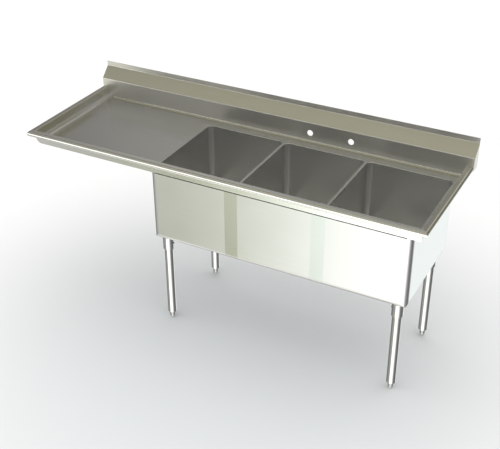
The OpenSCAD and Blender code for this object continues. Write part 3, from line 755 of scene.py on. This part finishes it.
# Five rings of light round the object, from the ground up. Each has the two heights, in degrees,
# between which it takes over from the ring below, and its stops. A stop has the degrees from the
# front, positive to the right, then its power and its tint.
RINGS = {
    "ground": (None, [
        (-180, 0.3, "white"), (-130, 0.25, "white"), (-90, 0.9, "white"), (-60, 1.3, "warm"),
        (60, 1.3, "white"), (90, 0.8, "white"), (130, 0.5, "white"), (180, 0.3, "white")]),
    "low": ((-58, -42), [
        (-180, 0.5, "white"), (-165, 0.25, "white"), (-110, 0.2, "white"), (-62, 0.4, "white"),
        (-46, 0.52, "white"), (-40, 0.45, "white"), (-33, 0.26, "lime"), (-28, 0.44, "lime"),
        (-25, 1.22, "mint"), (-20, 1.9, "white"), (32, 1.75, "white"), (50, 0.95, "white"),
        (66, 0.28, "white"), (115, 0.15, "white"), (140, 0.5, "white"), (157, 1.37, "ice"),
        (172, 1.37, "ice"), (180, 0.5, "white")]),
    "middle": ((-24, -10), [
        (-180, 0.3, "white"), (-120, 0.3, "white"), (-90, 0.5, "white"), (-60, 1.9, "warm"),
        (10, 1.9, "white"), (40, 0.6, "white"), (90, 0.3, "white"), (120, 0.15, "white"),
        (150, 0.15, "white"), (180, 0.3, "white")]),
    "high": ((4, 14), [
        (-180, 0.28, "warm"), (-159, 0.24, "warm"), (-148, 0.38, "warm"), (-138, 0.23, "warm"),
        (-118, 0.12, "white"), (-85, 0.12, "white"), (-60, 0.25, "white"), (-44, 0.2, "white"),
        (-28, 0.37, "warm"), (-10, 0.36, "warm"), (12, 0.5, "white"), (45, 0.58, "white"),
        (100, 0.45, "white"), (140, 0.27, "khaki"), (150, 0.25, "khaki"), (160, 0.28, "khaki"),
        (167, 0.9, "warm"), (173, 0.9, "warm"), (178, 0.4, "warm")]),
    "upper": ((34, 46), [
        (-180, 0.4, "warm"), (-130, 0.3, "warm"), (-110, 0.12, "warm"), (-85, 0.12, "warm"),
        (-60, 0.4, "khaki"), (-10, 0.37, "khaki"), (30, 0.36, "khaki"), (140, 0.45, "warm"),
        (180, 0.4, "warm")]),
}

# Daylight on what isn't metal, as power and tint: a little blue from the sides, most from overhead
SIDE_LIGHT = 0.23, (0.86, 1.0, 1.06)
TOP_LIGHT = 1.385, (1.02, 1.0, 0.99)

# The colours hold the light divided by this, to stay below 1, and the world multiplies it back
GAIN = 2.0


class SINK_OT_studio(bpy.types.Operator):
    """Set up the floor, the soft light and the camera"""
    bl_idname = "sink.studio"
    bl_label = "Studio"

    def execute(self, context):
        set_up = context.scene.sink_studio
        self.floor(set_up)
        self.light(context.scene, set_up)
        self.camera(context.scene, set_up)
        return {"FINISHED"}

    def floor(self, set_up):
        """Sheet of matt paper with a painted shadow: darker and bluer near the middle of the sink."""
        middle, near, away, half_w = (0.2, -0.4, 0), 0.5, 2.2, 30
        # Studio paper, unrolled: matt, without any shine, with a painted shadow under the sink
        made, tree, shader = material("studio_floor_paper")
        place = add(tree, "ShaderNodeTexCoord").outputs["Object"]
        apart = add(tree, "ShaderNodeVectorMath", {0: place, 1: middle}, operation="DISTANCE")
        # Painted shadow: full up to near from under the sink, faded to the plain floor beyond away
        shadow_fade = add(tree, "ShaderNodeMapRange", {
            "Value": apart.outputs["Value"], "From Min": near, "From Max": away},
            interpolation_type="SMOOTHSTEP")
        tone = add(tree, "ShaderNodeMix", {
            "Factor": shadow_fade.outputs["Result"], 6: [*set_up.floor_shadow, 1], 7: [*set_up.floor, 1]},
            data_type="RGBA")
        tree.links.new(tone.outputs[2], shader.inputs["Base Color"])
        shader.inputs["Roughness"].default_value = 1.0
        shader.inputs["Specular IOR Level"].default_value = 0.0
        mesh = bpy.data.meshes.new("studio_floor")
        corners = [(x * half_w, y * half_w, 0) for x, y in ((-1, -1), (1, -1), (1, 1), (-1, 1))]
        mesh.from_pydata(corners, [], [(0, 1, 2, 3)])
        mesh.materials.append(made)
        paper = show("studio_floor", mesh)
        # Metal reflects the studio round it, not the paper
        paper.visible_glossy = False

    def light(self, scene, set_up):
        """World that metal sees as rings of studio light, and the rest as even daylight."""
        scene.view_settings.view_transform = "Standard"
        world = bpy.data.worlds.new("soft_studio")
        world.use_nodes = True
        scene.world = world
        tree = world.node_tree
        way = add(tree, "ShaderNodeTexCoord").outputs["Generated"]
        axis = add(tree, "ShaderNodeSeparateXYZ", {"Vector": way}).outputs
        front = add(tree, "ShaderNodeMath", {0: axis["Y"], 1: -1.0}, operation="MULTIPLY")
        turn = add(tree, "ShaderNodeMath", {
            0: axis["X"], 1: front.outputs[0]}, operation="ARCTAN2")
        rise = add(tree, "ShaderNodeMath", {0: axis["Z"]}, operation="ARCSINE")
        around = add(tree, "ShaderNodeMapRange", {
            "Value": turn.outputs[0], "From Min": -math.pi, "From Max": math.pi})
        blend = None
        for label, (heights, stops) in RINGS.items():
            ring = self.ring(tree, label, stops, around.outputs["Result"])
            if heights is None:
                blend = ring
                continue
            part = add(tree, "ShaderNodeMapRange", {
                "Value": rise.outputs[0], "From Min": math.radians(heights[0]),
                "From Max": math.radians(heights[1])}, interpolation_type="SMOOTHSTEP")
            blend = add(tree, "ShaderNodeMix", {
                "Factor": part.outputs["Result"], 6: blend, 7: ring}, data_type="RGBA").outputs[2]
        side, over = ([set_up.daylight * power / GAIN * c for c in tint] + [1]
                      for power, tint in (SIDE_LIGHT, TOP_LIGHT))
        even = add(tree, "ShaderNodeMix", {
            "Factor": axis["Z"], 6: side, 7: over}, data_type="RGBA").outputs[2]
        path = add(tree, "ShaderNodeLightPath").outputs
        lit = add(tree, "ShaderNodeMix", {
            "Factor": path["Is Glossy Ray"], 6: even, 7: blend}, data_type="RGBA").outputs[2]
        # Behind the object the camera sees a plain pale backdrop
        pale = [c / GAIN for c in set_up.backdrop] + [1]
        seen = add(tree, "ShaderNodeMix", {
            "Factor": path["Is Camera Ray"], 6: lit, 7: pale}, data_type="RGBA").outputs[2]
        out = tree.nodes["Background"]
        tree.links.new(seen, out.inputs["Color"])
        out.inputs["Strength"].default_value = GAIN

    def ring(self, tree, label, stops, around):
        """Colour of one ring's light, by the way round from the front."""
        made = add(tree, "ShaderNodeValToRGB", {"Fac": around}, label=label)
        made.color_ramp.interpolation = "EASE"
        points = made.color_ramp.elements
        points.remove(points[1])
        for k, (degrees, power, tint) in enumerate(stops):
            at = degrees / 360 + 0.5
            point = points[0] if k == 0 else points.new(at)
            point.position = at
            point.color = [power / GAIN * c for c in TINTS[tint]] + [1]
        return made.outputs["Color"]

    def camera(self, scene, set_up):
        """Camera at the eye, turned by yaw, pitch and roll."""
        lens = bpy.data.cameras.new("camera")
        lens.sensor_width = 36
        lens.lens = set_up.lens
        lens.clip_end = 100
        ahead = Vector((-math.sin(set_up.yaw) * math.cos(set_up.pitch),
                        math.cos(set_up.yaw) * math.cos(set_up.pitch), -math.sin(set_up.pitch)))
        right = Vector((math.cos(set_up.yaw), math.sin(set_up.yaw), 0))
        up = right.cross(ahead)
        c, s = math.cos(set_up.roll), math.sin(set_up.roll)
        turn = Matrix((c * right + s * up, c * up - s * right, -ahead)).transposed()
        eye = bpy.data.objects.new("camera", lens)
        eye.matrix_world = Matrix.Translation(set_up.eye) @ turn.to_4x4()
        scene.collection.objects.link(eye)
        scene.camera = eye


class SINK_PT_panel(bpy.types.Panel):
    """Steps and settings of the sink"""
    bl_idname = "SINK_PT_panel"
    bl_label = "Three compartment sink"
    bl_space_type = "VIEW_3D"
    bl_region_type = "UI"
    bl_category = "Sink"

    def draw(self, context):
        for step in STEPS:
            self.layout.operator(step.bl_idname)
        for group in GROUPS:
            box = self.layout.box()
            box.label(text=group)
            owner = getattr(context.scene, group)
            for key in owner.bl_rna.properties.keys():
                if key not in ("rna_type", "name"):
                    box.prop(owner, key)


GROUPS = {"sink_finish": SinkFinish, "sink_parts": SinkParts, "sink_studio": SinkStudio}
STEPS = (SINK_OT_rims, SINK_OT_deck, SINK_OT_bowls, SINK_OT_seam, SINK_OT_splash, SINK_OT_legs,
         SINK_OT_feet, SINK_OT_drains, SINK_OT_baskets, SINK_OT_studio)


def register():
    """Adds the classes and the scene's settings."""
    for cls in (*GROUPS.values(), *STEPS, SINK_PT_panel):
        bpy.utils.register_class(cls)
    for name, group in GROUPS.items():
        setattr(bpy.types.Scene, name, bpy.props.PointerProperty(type=group))


def unregister():
    """Takes the settings and the classes away again."""
    for name in GROUPS:
        delattr(bpy.types.Scene, name)
    for cls in reversed((*GROUPS.values(), *STEPS, SINK_PT_panel)):
        bpy.utils.unregister_class(cls)


def main():
    """Runs the steps in order."""
    register()
    bpy.ops.sink.rims()
    bpy.ops.sink.deck()
    bpy.ops.sink.bowls()
    bpy.ops.sink.seam()
    bpy.ops.sink.splash()
    bpy.ops.sink.legs()
    bpy.ops.sink.feet()
    bpy.ops.sink.drains()
    bpy.ops.sink.baskets()
    bpy.ops.sink.studio()


if __name__ == "__main__":
    main()
